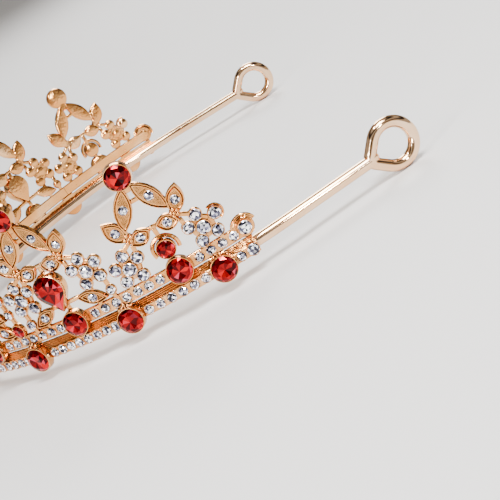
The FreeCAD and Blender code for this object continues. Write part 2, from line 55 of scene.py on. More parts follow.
# %% [markdown]
# ## Sizes
# A jeweller works in millimetres, and Blender in metres. The pieces are made in millimetres, in their own
# small axes, and the last matrix that puts them in place also scales them to metres.
#
# The band's radius and the height of its eyelets come from the frame. The rest are the wire's thickness and
# the sizes of the castings: how the band bends, how far apart the peaks stand and how big the stones are.

# %% Driving sizes, in millimetres and degrees
MM = 0.001
wire_low, wire_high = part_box("band_wire")
WIRE_RADIUS = 1.375
TOE_IN = 5.5
ARM_LENGTH = 21.6
EYE_RADIUS, EYE_TIP, EYE_REACH, EYE_LIFT = 4.8, 1.5, 6.2, 0.5
BAND_RADIUS = -wire_low[1] / MM - WIRE_RADIUS  # to the middle of the wire
WIRE_Z = wire_high[2] / MM / 2 - EYE_LIFT  # the eyelets' middles are half their height above the floor
ROW_Z = WIRE_Z - 0.5  # height of the gallery's row of stones
LEAN = math.radians(4.0)
PEAK_PITCH = 19.2
END_ANGLE = 88.9
HALF_PITCH = BAND_RADIUS * math.radians(PEAK_PITCH) / 2
SIDE_HEIGHT = 28.9
TIER_RISE = 4.1
GALLERY_LOW, GALLERY_HIGH = -1.2, 2.8
RAIL_LOW, RAIL_HIGH = 3.25, 6.05
RAIL_ROW = (RAIL_LOW + RAIL_HIGH) / 2
SMALL, FLOWER, PETAL, RED, BUD, SEED = 1.1, 1.55, 1.35, 2.85, 2.05, 1.6  # radii of the stones
PEAR_HEAD, PEAR_LENGTH = 3.4, 9.0
CUP_WALL = 0.25
print(f"band radius {BAND_RADIUS:.2f} mm, wire at {WIRE_Z:.2f} mm, half pitch {HALF_PITCH:.2f} mm")

# %% [markdown]
# ## Places on the wall
# The ornament stands on a wall that is bent like a crown and leans out a little. A place on it is an angle
# round the band and a height above the lowest row of stones. One matrix turns a flat piece, drawn on a
# bench with Z as its thickness, to that place. A motif of several pieces shares one matrix, because a real
# motif is cast flat.

# %% Wall matrix
def degrees_of(arc):
    return math.degrees(arc / BAND_RADIUS)


def across_of(angle):
    return math.radians(angle) * BAND_RADIUS / HALF_PITCH


def wall(angle, height):
    theta = math.radians(angle)
    outward = Vector((math.sin(theta), -math.cos(theta), 0))
    along = Vector((math.cos(theta), math.sin(theta), 0))
    up = Vector((0, 0, 1))
    lean = LEAN if height > RAIL_ROW else 0.0
    normal = outward * math.cos(lean) - up * math.sin(lean)
    rise = up * math.cos(lean) + outward * math.sin(lean)
    radius = BAND_RADIUS + WIRE_RADIUS + max(0.0, height - RAIL_ROW) * math.tan(lean)
    place = outward * radius + up * (ROW_Z + height)
    turn = Matrix((along, rise, normal)).transposed().to_4x4()
    return Matrix.Scale(MM, 4) @ Matrix.Translation(place) @ turn


print("front, on the row:", [round(v, 4) for v in wall(0, 0).translation])

# %% [markdown]
# ## Materials
# Three finishes carry the whole object. Each starts from what the real one is, and its numbers are then
# moved until it looks right beside the others. Two small helpers come first: one turns a hex colour into
# the linear numbers that the renderer wants, and one adds a node with its settings and links.

# %% Node helpers
def linear(hex_colour):
    channels = [int(hex_colour[i:i + 2], 16) / 255 for i in (1, 3, 5)]
    return [c / 12.92 if c <= 0.04045 else ((c + 0.055) / 1.055) ** 2.4 for c in channels] + [1.0]


def add(tree, kind, links=(), inputs=(), **settings):
    """Adds a node. links are (input, source node, output) and inputs are (input, value)."""
    new = tree.nodes.new(kind)
    for key, value in settings.items():
        setattr(new, key, value)
    for key, value in inputs:
        new.inputs[key].default_value = value
    for key, source, output in links:
        tree.links.new(source.outputs[output], new.inputs[key])
    return new


def ramp(tree, source, output, stops):
    """A colour ramp with (position, hex colour) stops."""
    new = add(tree, "ShaderNodeValToRGB", links=[("Fac", source, output)])
    while len(new.color_ramp.elements) < len(stops):
        new.color_ramp.elements.new(0.5)
    for element, (position, colour) in zip(new.color_ramp.elements, stops):
        element.position = position
        element.color = linear(colour)
    return new


def new_material(name):
    material = bpy.data.materials.new(name)
    material.use_nodes = True
    tree = material.node_tree
    return material, tree, tree.nodes["Principled BSDF"]


print("helpers ready")

# %% [markdown]
# ### Rose gold plate
# Plating is a film of gold and copper over a polished casting, so it is all metal: its colour is the colour
# of its reflections. A casting this small isn't buffed in its corners, so its gloss varies, and its skin
# has a slight ripple. The ripple is drawn 0.9 mm wide, coarse enough to bend a reflection. The crevices get
# a second, darker and redder tone where another surface is near: this is painted shade.

# %% Rose gold plate
RIPPLE = 0.9 * MM
PAINTED_SHADE_REACH = 1.0 * MM  # how near another surface must be for the crevice's painted shade to come in


def rose_gold_plate(name, tones, painted_crevice_shade, ripple_depth, rough_low, rough_high):
    material, tree, shader = new_material(name)
    place = add(tree, "ShaderNodeTexCoord")
    skin = add(tree, "ShaderNodeTexNoise", links=[("Vector", place, "Object")],
               inputs=[("Scale", 1 / RIPPLE), ("Detail", 3.0)])
    patch = add(tree, "ShaderNodeTexNoise", links=[("Vector", place, "Object")],
                inputs=[("Scale", 0.12 / RIPPLE), ("Detail", 2.0)])
    tone = ramp(tree, patch, "Fac", list(zip((0.3, 0.55, 0.75), tones)))
    # Painted shade: ambient occlusion mixes the darker crevice tone in where another surface is near.
    outside = add(tree, "ShaderNodeAmbientOcclusion", inputs=[("Distance", PAINTED_SHADE_REACH)], samples=6)
    open_sky = add(tree, "ShaderNodeMapRange", links=[("Value", outside, "AO")],
                   inputs=[("From Min", 0.15), ("From Max", 0.85)])
    colour = add(tree, "ShaderNodeMix", data_type="RGBA", inputs=[(6, linear(painted_crevice_shade))],
                 links=[("Factor", open_sky, "Result"), (7, tone, "Color")])
    gloss = add(tree, "ShaderNodeMapRange", links=[("Value", skin, "Fac")],
                inputs=[("To Min", rough_low), ("To Max", rough_high)])
    bump = add(tree, "ShaderNodeBump", links=[("Height", skin, "Fac")],
               inputs=[("Strength", 0.5), ("Distance", ripple_depth)])
    tree.links.new(colour.outputs[2], shader.inputs["Base Color"])
    tree.links.new(gloss.outputs["Result"], shader.inputs["Roughness"])
    tree.links.new(bump.outputs["Normal"], shader.inputs["Normal"])
    shader.inputs["Metallic"].default_value = 1.0
    return material


# Each metal's last colour is the painted shade of its crevices.
cast_gold = rose_gold_plate("rose_gold_plated_casting", ("#e0964e", "#ecaa66", "#f8c894"), "#6a2c0c",
                            0.18 * MM, 0.08, 0.24)
wire_gold = rose_gold_plate("rose_gold_plated_wire", ("#efc093", "#f4cba2", "#f8d5b0"), "#a8683a",
                            0.02 * MM, 0.06, 0.16)
print("metals:", cast_gold.name, wire_gold.name)

# %% [markdown]
# ### Foil-backed glass
# A rhinestone is cut glass with a mirror of foil behind it. Light goes in, bounces off the foil and comes
# out of another facet, so beside each other the facets are nearly white and nearly black. Real refraction
# would need many samples to settle, so each facet carries a random number of its own instead, which picks
# a painted tone, from painted shade to painted highlight, over a mirror finish with a clear coat. The
# brightest facets glow a little as a painted glint: they stand for the ones that throw a lamp straight at the
# eye.

# %% Foil-backed glass
def foil_glass(name, stops, metallic, coat, glint):
    material, tree, shader = new_material(name)
    facet = add(tree, "ShaderNodeAttribute", attribute_name="facet")
    tone = ramp(tree, facet, "Fac", stops)
    glow = add(tree, "ShaderNodeMapRange", links=[("Value", facet, "Fac")],
               inputs=[("From Min", 0.72), ("From Max", 0.95), ("To Max", glint)])
    tree.links.new(tone.outputs["Color"], shader.inputs["Base Color"])
    tree.links.new(tone.outputs["Color"], shader.inputs["Emission Color"])
    tree.links.new(glow.outputs["Result"], shader.inputs["Emission Strength"])
    shader.inputs["Metallic"].default_value = metallic
    shader.inputs["Roughness"].default_value = 0.06
    shader.inputs["Coat Weight"].default_value = coat
    shader.inputs["Coat Roughness"].default_value = 0.02
    return material


# The ramps run from painted shade on the darkest facets to painted highlights on the brightest; the red's
# last, pinker stop is a painted pale reflection.
clear_glass = foil_glass("clear_rhinestone", [
    (0.0, "#06060c"), (0.3, "#2c2c42"), (0.5, "#7c7c98"), (0.66, "#cfcde0"), (0.8, "#ffffff")], 0.9, 0.5, 1.6)
red_glass = foil_glass("ruby_red_rhinestone", [
    (0.0, "#180002"), (0.25, "#4c0004"), (0.55, "#900006"), (0.88, "#cc0008"), (0.95, "#c83c50")],
    0.9, 0.1, 0.1)
print("glasses:", clear_glass.name, red_glass.name)

# %% [markdown]
# ## Templates
# Each kind of element is made once, flat on the bench, and copied to its places. Making it a mesh first
# lets one helper collect any number of copies in one casting.

# %% Collecting copies
def as_mesh(bm, name):
    bmesh.ops.recalc_face_normals(bm, faces=bm.faces)
    mesh = bpy.data.meshes.new(name)
    bm.to_mesh(mesh)
    bm.free()
    return mesh


def collect(bm, template, matrix):
    copy = template.copy()
    copy.transform(matrix)
    bm.from_mesh(copy)
    bpy.data.meshes.remove(copy)


def spun(profile, steps):
    """A turned piece: a profile of (radius, height) points spun once round Z."""
    bm = bmesh.new()
    line = [bm.verts.new((r, 0, z)) for r, z in profile]
    edges = [bm.edges.new(pair) for pair in zip(line, line[1:])]
    bmesh.ops.spin(bm, geom=line + edges, cent=(0, 0, 0), axis=(0, 0, 1),
                   angle=2 * math.pi, steps=steps, use_merge=True)
    bmesh.ops.remove_doubles(bm, verts=bm.verts, dist=0.001)
    return bm


print("copies are collected with their place in the mesh")

# %% [markdown]
# ### Cups
# A stone sits in a cup with a thin wall, and its lip is rolled over the stone's edge. The cup's back is
# rounded, as the inside of the tiara shows. A cup is round about its own axis, so its profile is spun.

# %% Cups
CUP_FLOOR, PAVILION, GIRDLE, CROWN = 0.2, 0.36, 0.05, 0.16  # the last three as shares of a stone's diameter


def lip_height(diameter):
    """The lip is level with the top of the stone's girdle."""
    return CUP_FLOOR + (PAVILION + GIRDLE) * diameter


def cup(radius, steps):
    lip = lip_height(2 * radius)
    outer = radius + CUP_WALL
    outside = [(0, 0.02), (outer * 0.62, 0.06), (outer * 0.93, 0.34), (outer, 0.7)]
    edge = [(radius + 0.17, lip - 0.14), (radius + 0.13, lip + 0.03), (radius + 0.02, lip + 0.04)]
    profile = outside + edge + [(radius, lip - 0.06), (0, CUP_FLOOR)]
    return as_mesh(spun(profile, steps), "cup")


CUP_STEPS = {SMALL: 12, PETAL: 14, FLOWER: 14, SEED: 16, BUD: 20, RED: 28}
CUPS = {radius: cup(radius, steps) for radius, steps in CUP_STEPS.items()}
print("cups:", {radius: len(mesh.polygons) for radius, mesh in CUPS.items()})

# %% [markdown]
# ### Cut stones
# A brilliant cut is a flat table, a ring of kite-shaped facets, a narrow edge called the girdle, and a
# pointed back. All its corners lie on a few rings, and it is convex, so a convex hull round the rings finds
# every facet. Facets that lie in one plane are then joined again, and the table is poked, because the
# facets of the back show through it as a star.

# %% Cut stones
TABLE = 0.56  # the table's width as a share of the stone's
KITE_WIDTH, KITE_HEIGHT = 0.82, 0.62  # where the kites' corners lie: share of the width, and of the crown
TABLE_DISH = 0.05  # the table's middle is pushed in by this share of the diameter, to show a star


def cut_stone(outline, diameter, folds):
    """outline(share, turn) gives the corner of a ring of that share at that turn."""
    seat = CUP_FLOOR + PAVILION * diameter
    girdle = seat + GIRDLE * diameter
    table = girdle + CROWN * diameter
    middle = girdle + KITE_HEIGHT * (table - girdle)
    rings = [(1.0, seat, 2 * folds, 0.0), (1.0, girdle, 2 * folds, 0.0),
             (KITE_WIDTH, middle, folds, 0.5), (TABLE, table, folds, 0.0)]
    bm = bmesh.new()
    bm.verts.new((*outline(0.0, 0.0), CUP_FLOOR))
    for share, height, count, offset in rings:
        for i in range(count):
            bm.verts.new((*outline(share, (i + offset) / count), height))
    hull = bmesh.ops.convex_hull(bm, input=bm.verts)
    loose = hull["geom_interior"] + hull["geom_unused"]
    inner = {item for item in loose if isinstance(item, bmesh.types.BMVert)}
    bmesh.ops.delete(bm, geom=list(inner), context="VERTS")
    bmesh.ops.dissolve_limit(bm, angle_limit=math.radians(1), verts=bm.verts, edges=bm.edges)
    bm.normal_update()
    top = [face for face in bm.faces if face.normal.z > 0.999]
    bmesh.ops.poke(bm, faces=top, offset=-TABLE_DISH * diameter)
    return as_mesh(bm, "stone")


def round_corner(radius):
    def corner(share, turn):
        angle = 2 * math.pi * turn
        return share * radius * math.cos(angle), share * radius * math.sin(angle)
    return corner


STONES = {radius: cut_stone(round_corner(radius), 2 * radius, 8 if radius < SEED else 10) for radius in CUPS}
print("stones:", {radius: len(mesh.polygons) for radius, mesh in STONES.items()})

# %% [markdown]
# ### Pear stone
# The pear is a round head with two straight sides that meet in a point. Its corner function walks the head
# first, and the point is its last corner. Its cup is the same outline, pushed out by the wall and raised.

# %% Pear stone and its cup
PEAR_REACH = PEAR_LENGTH - PEAR_HEAD
PEAR_SLOPE = math.asin(PEAR_HEAD / PEAR_REACH)
PEAR_POINT = 0.16  # the share of a turn that the two straight sides take
PEAR_CORNERS = 32


def pear_corner(share, turn):
    turn = (turn - 0.25) % 1.0  # a quarter turn back, so that the point lies between two turns
    half = PEAR_POINT / 2
    if turn > 1 - half or turn < half:
        nearness = 1 - min(turn, 1 - turn) / half
        side = 1 if turn < half else -1
        base = Vector((side * PEAR_HEAD * math.cos(PEAR_SLOPE), -PEAR_HEAD * math.sin(PEAR_SLOPE)))
        corner = base.lerp(Vector((0, -PEAR_REACH)), nearness)
    else:
        sweep = math.pi + 2 * PEAR_SLOPE
        angle = -PEAR_SLOPE + sweep * (turn - half) / (1 - 2 * half)
        corner = PEAR_HEAD * Vector((math.cos(angle), math.sin(angle)))
    return share * corner.x, share * corner.y


def outline_ring(bm, corner, count, grow, height):
    """A closed ring of corners, each pushed out from the middle by grow."""
    ring = []
    for i in range(count):
        point = Vector(corner(1.0, i / count))
        point += point.normalized() * grow
        ring.append(bm.verts.new((point.x, point.y, height)))
    return [bm.edges.new((ring[i], ring[(i + 1) % count])) for i in range(count)]


def pear_cup():
    lip = lip_height(2 * PEAR_HEAD)
    rings = [(-1.2, 0.02), (-0.1, 0.2), (CUP_WALL, 0.8), (CUP_WALL, lip - 0.22), (CUP_WALL - 0.08, lip),
             (0.04, lip + 0.05), (0.0, lip - 0.05)]
    bm = bmesh.new()
    loops = [outline_ring(bm, pear_corner, PEAR_CORNERS, grow, height) for grow, height in rings]
    for low, high in zip(loops, loops[1:]):
        bmesh.ops.bridge_loops(bm, edges=low + high)
    bmesh.ops.holes_fill(bm, edges=loops[0], sides=0)
    return as_mesh(bm, "pear_cup")


PEAR_STONE = cut_stone(pear_corner, 2 * PEAR_HEAD, 12)
PEAR_CUP = pear_cup()
print("pear:", len(PEAR_STONE.polygons), "facets")

# %% [markdown]
# ### Leaves
# A leaf has two raised rims round a sunk field of small grains, and a keeled back. It starts as a circle
# squeezed to a leaf's outline. Its top face is then extruded again and again, each time scaled in and
# raised or lowered, which draws the rims as steps. Grains are tiny balls laid along the field.

# %% Leaves
LEAF_CORNERS = 20
LEAF_RIM = [(0.0, 1.2), (0.1, 1.48), (0.24, 1.5), (0.36, 1.1)]
LEAF_PLATE = [(0.48, 1.05), (0.58, 1.3), (0.74, 1.3), (0.86, 0.95)]
LEAF_STEPS = LEAF_RIM + LEAF_PLATE
LEAF_BACK = [(0.25, 0.08), (0.9, 0.0)]
GRAIN, GRAIN_HEIGHT = 0.2, 0.98
GRAIN_LANES = (1.1, 1.5)  # how far inside the outline the grains' rows lie
GRAIN_RATE = 2.9  # grains for a millimetre of leaf, less the lane
LEAF_WIDTH = 4.1
LEAF_STONE_LIFT = 0.2  # a leaf's stone stands a little higher than the others


def leaf_point(length, width, inset, turn):
    """A point of the leaf's outline, pulled in by inset: a circle whose height falls as a square."""
    c, s = math.cos(2 * math.pi * turn), math.sin(2 * math.pi * turn)
    return (length / 2 - 1.7 * inset) * c, (width / 2 - inset) * s * abs(s)


def leaf_loop(bm, length, width, inset, height):
    ring = []
    for i in range(LEAF_CORNERS):
        ring.append(bm.verts.new((*leaf_point(length, width, inset, i / LEAF_CORNERS), height)))
    return [bm.edges.new((ring[i], ring[(i + 1) % LEAF_CORNERS])) for i in range(LEAF_CORNERS)]


def leaf(length, width, stone_radius):
    bm = bmesh.new()
    steps = LEAF_BACK[::-1] + [(0.0, 0.35)] + LEAF_STEPS
    loops = [leaf_loop(bm, length, width, inset, height) for inset, height in steps]
    for low, high in zip(loops, loops[1:]):
        bmesh.ops.bridge_loops(bm, edges=low + high)
    for end in (loops[0], loops[-1]):
        bmesh.ops.holes_fill(bm, edges=end, sides=0)
    reach = stone_radius + CUP_WALL + 0.1
    for lane in GRAIN_LANES:
        count = int(length * (GRAIN_RATE - lane))
        for i in range(count):
            x, y = leaf_point(length, width, lane, (i + 0.5) / count)
            if math.hypot(x, y) > reach:
                place = Matrix.Translation((x, y, GRAIN_HEIGHT))
                bmesh.ops.create_icosphere(bm, subdivisions=1, radius=GRAIN, matrix=place)
    return as_mesh(bm, "leaf")


print("a leaf:", len(leaf(7.0, LEAF_WIDTH, SMALL).polygons), "faces")

# %% [markdown]
# ### Bars
# Where two elements don't touch, a short bar joins them. Cast bars have soft edges, so a cube is scaled to
# a bar and its edges are bevelled.

# %% Bars
BAR_WIDTH, BAR_THICK, BAR_LIFT = 1.0, 0.85, 0.15


def bar(length):
    bm = bmesh.new()
    scale = Matrix.Diagonal((length, BAR_WIDTH, BAR_THICK, 1))
    bmesh.ops.create_cube(bm, size=1, matrix=Matrix.Translation((0, 0, BAR_LIFT + BAR_THICK / 2)) @ scale)
    bmesh.ops.bevel(bm, geom=bm.edges[:], offset=0.22, affect="EDGES", segments=2, profile=0.5, material=-1)
    return as_mesh(bm, "bar")


print("a bar:", len(bar(5.0).polygons), "faces")

# %% [markdown]
# ### Discs, arches, the end lobe and knots
# A flower's cups stand on one disc. An arch of round wire frames a small hanging stone: its section is a
# circle, spun round the stone. The last stone of the rail sits in a lobe with three ribs over it. Where
# leaves meet, a round knot joins their feet.

# %% Discs, arches, the lobe and knots
DISC_RADIUS = 2.7
KNOT_RADIUS = 1.15


def shell(radius, thick):
    return as_mesh(spun([(0, 0.12), (radius - 0.2, 0.12), (radius, 0.3), (radius, thick - 0.22),
                         (radius - 0.18, thick), (0, thick)], 24), "shell")


def arch(radius, tube, first, last):
    bm = bmesh.new()
    start = math.radians(first)
    ring_plane = Matrix.Rotation(start, 4, "Z") @ Matrix.Translation((radius, 0, 0.8)) @ Matrix.Rotation(
        math.pi / 2, 4, "X")
    bmesh.ops.create_circle(bm, cap_ends=True, segments=8, radius=tube, matrix=ring_plane)
    bmesh.ops.spin(bm, geom=bm.faces[:], cent=(0, 0, 0), axis=(0, 0, 1),
                   angle=math.radians(last - first), steps=16)
    return as_mesh(bm, "arch")


FLOWER_DISC = shell(DISC_RADIUS, 0.95)
BUD_ARCH = arch(BUD + CUP_WALL + 0.6, 0.5, -20, 200)
PETAL_ARCH = arch(PETAL + CUP_WALL + 0.25, 0.26, -70, 120)
LOBE = [shell(FLOWER + 3 * CUP_WALL, 0.95)] + [arch(FLOWER + 0.5 + 0.42 * i, 0.24, 15, 205) for i in range(3)]
KNOT = shell(KNOT_RADIUS, 1.2)
grain_bm = bmesh.new()
bmesh.ops.create_icosphere(grain_bm, subdivisions=2, radius=0.48)
GRAIN_BALL = as_mesh(grain_bm, "grain")
print("disc:", len(FLOWER_DISC.polygons), "faces, arch:", len(BUD_ARCH.polygons), "faces")

# %% [markdown]
# ## A casting
# This class is the model maker's bench. It knows where its casting stands, and it lays cups, stones, leaves
# and bars on it. A place is given across, in half pitches, and up. All metal goes in one mesh, and the
# clear and red stones go in two more, because each is a different material.

# %% Casting class
class Casting:
    def __init__(self, angle, side=1):
        self.angle, self.side = angle, side
        self.metal, self.clear, self.red = bmesh.new(), bmesh.new(), bmesh.new()
        self.motif = None

    def at(self, across):
        return self.side * (self.angle + degrees_of(across * HALF_PITCH))

    def matrix(self, across, height, spin=0.0):
        origin = self.motif or (across, height)
        shift = Vector((self.side * (across - origin[0]) * HALF_PITCH, height - origin[1], 0))
        turn = Matrix.Rotation(self.side * spin, 4, "Z")
        return wall(self.at(origin[0]), origin[1]) @ Matrix.Translation(shift) @ turn

    def stone(self, across, height, radius, red=False, lift=0.0):
        place = self.matrix(across, height) @ Matrix.Translation((0, 0, lift))
        collect(self.metal, CUPS[radius], place)
        twist = Matrix.Rotation(across * 7 + height, 4, "Z")  # stones are glued in at any turn
        collect(self.red if red else self.clear, STONES[radius], place @ twist)

    def pear(self, height):
        collect(self.metal, PEAR_CUP, self.matrix(0, height))
        collect(self.red, PEAR_STONE, self.matrix(0, height))

    def slanted(self, start, end):
        run, rise = (end[0] - start[0]) * HALF_PITCH, end[1] - start[1]
        place = self.matrix((start[0] + end[0]) / 2, (start[1] + end[1]) / 2, math.atan2(rise, run))
        return math.hypot(run, rise), place

    def leaf(self, start, end, width):
        length, place = self.slanted(start, end)
        collect(self.metal, leaf(length, width, SMALL), place)
        self.stone((start[0] + end[0]) / 2, (start[1] + end[1]) / 2, SMALL, lift=LEAF_STONE_LIFT)

    def bar(self, start, end):
        length, place = self.slanted(start, end)
        collect(self.metal, bar(length), place)

    def knot(self, across, height):
        collect(self.metal, KNOT, self.matrix(across, height))

    def grains(self, across, height):
        """Five grains round one, on a knot."""
        for i in range(6):
            turn = 2 * math.pi * i / 5
            reach = 0.75 if i < 5 else 0.0
            shift = Matrix.Translation((reach * math.sin(turn), reach * math.cos(turn), 1.3))
            collect(self.metal, GRAIN_BALL, self.matrix(across, height) @ shift)


# %% [markdown]
# ## Strips
# The gallery and the rails are strips bent round the band. A strip's section is drawn once and spun round
# the band's axis. The strips under the stones have soft corners, and the ribbon between the two rows has
# fine ribs along it, because it shows between the stones.

# %% Strips
RIDGE = 0.34  # from one ridge of the ribbon to the next


def plain_section(low, high, thick):
    """A strip's section with soft corners, as (outwards, up) points."""
    edge = 0.2
    return [(0, low + edge), (edge, low), (thick - edge, low), (thick, low + edge),
            (thick, high - edge), (thick - edge, high), (edge, high), (0, high - edge)]


def ribbed_section(low, high, thick):
    """The same with a ribbed face: a crest and a groove for every ridge that fits."""
    count = int((high - low) / RIDGE)
    face = []
    for i in range(2 * count + 1):
        face.append((thick - (0.16 if i % 2 == 0 else 0.0), low + (high - low) * i / (2 * count)))
    return [(0, low)] + face + [(0, high)]


def strip(casting, section, first, last):
    """Spins a section from one angle to another, whichever is the smaller."""
    inner = BAND_RADIUS + WIRE_RADIUS
    start = math.radians(min(first, last) - 90)
    angle = math.radians(abs(last - first))
    bm = bmesh.new()
    verts = []
    for out, height in section:
        radius = inner + out
        verts.append(bm.verts.new((radius * math.cos(start), radius * math.sin(start), ROW_Z + height)))
    face = bm.faces.new(verts)
    steps = max(2, int(math.degrees(angle) / 1.2))
    bmesh.ops.spin(bm, geom=[face], cent=(0, 0, 0), axis=(0, 0, 1), angle=angle, steps=steps)
    collect(casting.metal, as_mesh(bm, "strip"), Matrix.Scale(MM, 4))


print("a ribbed section has", len(ribbed_section(1.3, 2.8, 0.9)), "corners")

# %% [markdown]
# ## Finished pieces
# A casting's three meshes become three objects. Each stands for its node of the frame and rides on the
# frame's one body. Facets stay flat, and turned metal is shaded smooth with its sharp edges kept.

# %% Finishing a piece
chance = random.Random(7)
made = []


def finish_piece(bm, node, material, smooth):
    mesh = bpy.data.meshes.new(node + "_look")
    if not smooth:
        layer = bm.faces.layers.float.new("facet")
        for face in bm.faces:
            face[layer] = chance.random()
    bm.to_mesh(mesh)
    bm.free()
    piece = bpy.data.objects.new(node + "_look", mesh)
    bpy.context.scene.collection.objects.link(piece)
    mesh.materials.append(material)
    if smooth:
        mesh.polygons.foreach_set("use_smooth", [True] * len(mesh.polygons))
        mesh.set_sharp_from_angle(angle=math.radians(42))
    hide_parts(node)
    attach(piece, "root")
    made.append(piece)
    return piece


def finish_casting(casting, node):
    finish_piece(casting.metal, node, cast_gold, True)
    finish_piece(casting.clear, node + "_clear_stones", clear_glass, False)
    finish_piece(casting.red, node + "_red_stones", red_glass, False)
    print(node, "done:", sum(len(piece.data.polygons) for piece in made[-3:]), "faces")


# %% [markdown]
# ## The gallery
# The lowest strip is soldered to the wire. Large red stones sit on it between the peaks, a bay of small
# clear ones runs from one to the next, and above each red one a small nugget reaches up to the rail.

# %% Gallery
FIRST_RED, RED_STEP, END_RED = 9.0, 19.0, 82.6
GALLERY_SPLIT = FIRST_RED + 1.5 * RED_STEP
RED_SIDE = 4.27  # from a red stone to the next clear one
SPLIT_SIDE = 1.415  # from the split to the stone on each side of it
END_STEP = 2.8  # between the last two stones
SOLDER_GAP = degrees_of(0.06)
PLATE = 1.0
RIBBON_THICK, RIBBON_LAP = 0.85, 0.1  # the ribbed strip starts a little below the plain one's top
LUG_LAP, LUG_THICK, LUG_HALF_WIDTH = 0.8, 1.5, 1.7  # so does a lug, below the ribbon's top
NUGGET_DROP = 0.5  # the grains' middle below the rail


def spread(first, last, count):
    return [first + (last - first) * i / (count - 1) for i in range(count)]


def nugget(casting, angle):
    """Grains on a short lug."""
    lug = plain_section(GALLERY_HIGH - LUG_LAP, RAIL_LOW, LUG_THICK)
    half = degrees_of(LUG_HALF_WIDTH)
    strip(casting, lug, angle - half, angle + half)
    casting.grains(across_of(casting.side * angle), RAIL_LOW - NUGGET_DROP)


def gallery(node, side, first, last, reds, bays, end_stones=()):
    casting = Casting(0.0, side)
    ends_at = side * first + SOLDER_GAP, side * last - SOLDER_GAP
    strip(casting, plain_section(GALLERY_LOW, -GALLERY_LOW, PLATE), *ends_at)
    strip(casting, ribbed_section(-GALLERY_LOW - RIBBON_LAP, GALLERY_HIGH, RIBBON_THICK), *ends_at)
    for angle in reds:
        casting.stone(across_of(angle), 0.0, RED, red=True)
        nugget(casting, side * angle)
    angles = [angle for bay in bays for angle in spread(*bay)]
    for angle, radius in [(angle, SMALL) for angle in angles] + list(end_stones):
        casting.stone(across_of(angle), 0.0, radius)
    finish_casting(casting, node)


margin, split = degrees_of(RED_SIDE), degrees_of(SPLIT_SIDE)
reds = [FIRST_RED + i * RED_STEP for i in range(4)] + [END_RED]
half_centre_bays = [(reds[0] + margin, reds[1] - margin, 8), (reds[1] + margin, GALLERY_SPLIT - split, 4)]
side_bays = [(GALLERY_SPLIT + split, reds[2] - margin, 4), (reds[2] + margin, reds[3] - margin, 8),
             (reds[3] + margin, reds[4] - margin, 6)]
centre_bays = [(-reds[0] + margin, reds[0] - margin, 7)] + half_centre_bays
centre_bays += [(-last, -first, count) for first, last, count in half_centre_bays]
beside = END_RED + margin
last_pair = [(beside, SMALL), (beside + degrees_of(END_STEP), PETAL)]
centre_reds = [-reds[1], -reds[0], reds[0], reds[1]]
gallery("gallery_centre", 1, -GALLERY_SPLIT, GALLERY_SPLIT, centre_reds, centre_bays)
for side, word in ((1, "right"), (-1, "left")):
    gallery("gallery_" + word, side, GALLERY_SPLIT, END_ANGLE, reds[2:], side_bays, last_pair)

# %% [markdown]
# ## The peaks
# Every peak is the same design at its own height. A crown stone stands on two long leaves. Side leaves and
# cross leaves spread below them, with a flower of six stones on each side. Under the crest hangs a pear or
# a bud, and each step towards the front adds one tier of slanting leaves.

# %% Flowers, crest, pendant and tiers
BAY_GAP, BAY_ROW = 0.735, 7
FLOWER_ACROSS, FLOWER_DROP = 0.68, 18.9
PETALS = ((92, 0.35), (152, 0.25), (236, 0.2), (314, 0.2), (22, 0.25))  # direction, web to the middle cup
END_PETALS = PETALS[:4] + ((22, 0.9),)
PETAL_ROOT = 0.6  # where a petal's bar starts, as a share of the middle stone's radius
HOOK_DROP, PEAR_DROP, BUD_DROP = 13.4, 15.2, 18.8  # below the crown: the pendant's bar, a pear's top, a bud
PENDANT_LAP, LEAF_LAP = 0.6, 0.2  # how far the pendant's bar and leaves run into their neighbours
LEAF_RATE = 8.2  # usual length of a leaf under the pendant
TIER_FOOT = 7.5
TIER_LEAF = (0.25, 2.2), (0.76, -0.7)  # both ends, across and above the tier's own level
TIER_SHARE = 0.8  # its width, as a share of a leaf's
TIER_BAR = 0.3, 2.0
TIER_STONE, SEED_PLACE = (0.86, 0.4), (0.86, 0.2)
LOBE_STEP, LOBE_RISE = 0.05, 0.5  # the rail's last stone, outwards in steps and up

# The crest's right half, as half pitches across and millimetres below the crown stone
CREST_LEAVES = (
    ((0.06, 2.4), (0.43, 11.6), 1.0),
    ((0.43, 13.6), (0.70, 7.4), 1.0),
    ((0.05, 13.3), (0.46, 14.7), 0.92),
)
CREST_BARS = (
    ((0.42, 11.0), (0.44, 14.2)),
    ((0.44, 13.6), (0.67, 15.2)),
    ((0.45, 14.6), (0.47, 17.3)),
)
CREST_TIES = ((0.14, 6.4), (0.1, 13.4))
CREST_KNOTS = ((0.44, 12.9), (-0.44, 12.9), (0.0, 3.2))


def flower(casting, side, height, petals):
    casting.motif = side * FLOWER_ACROSS, height
    casting.stone(side * FLOWER_ACROSS, height, FLOWER)
    collect(casting.metal, FLOWER_DISC, casting.matrix(side * FLOWER_ACROSS, height))
    feet = []
    for turn, web in petals:
        run = math.cos(math.radians(turn)) / HALF_PITCH
        rise = math.sin(math.radians(turn))
        reach = FLOWER + PETAL + web
        across, level = FLOWER_ACROSS + reach * run, height + reach * rise
        casting.stone(side * across, level, PETAL)
        root = FLOWER_ACROSS + PETAL_ROOT * FLOWER * run, height + PETAL_ROOT * FLOWER * rise
        casting.bar((side * root[0], root[1]), (side * across, level))
        if petals is END_PETALS and turn == END_PETALS[-1][0]:
            collect(casting.metal, PETAL_ARCH, casting.matrix(side * across, level))
        if turn > 180:
            feet.append((side * across, level - PETAL / 2))
    return feet


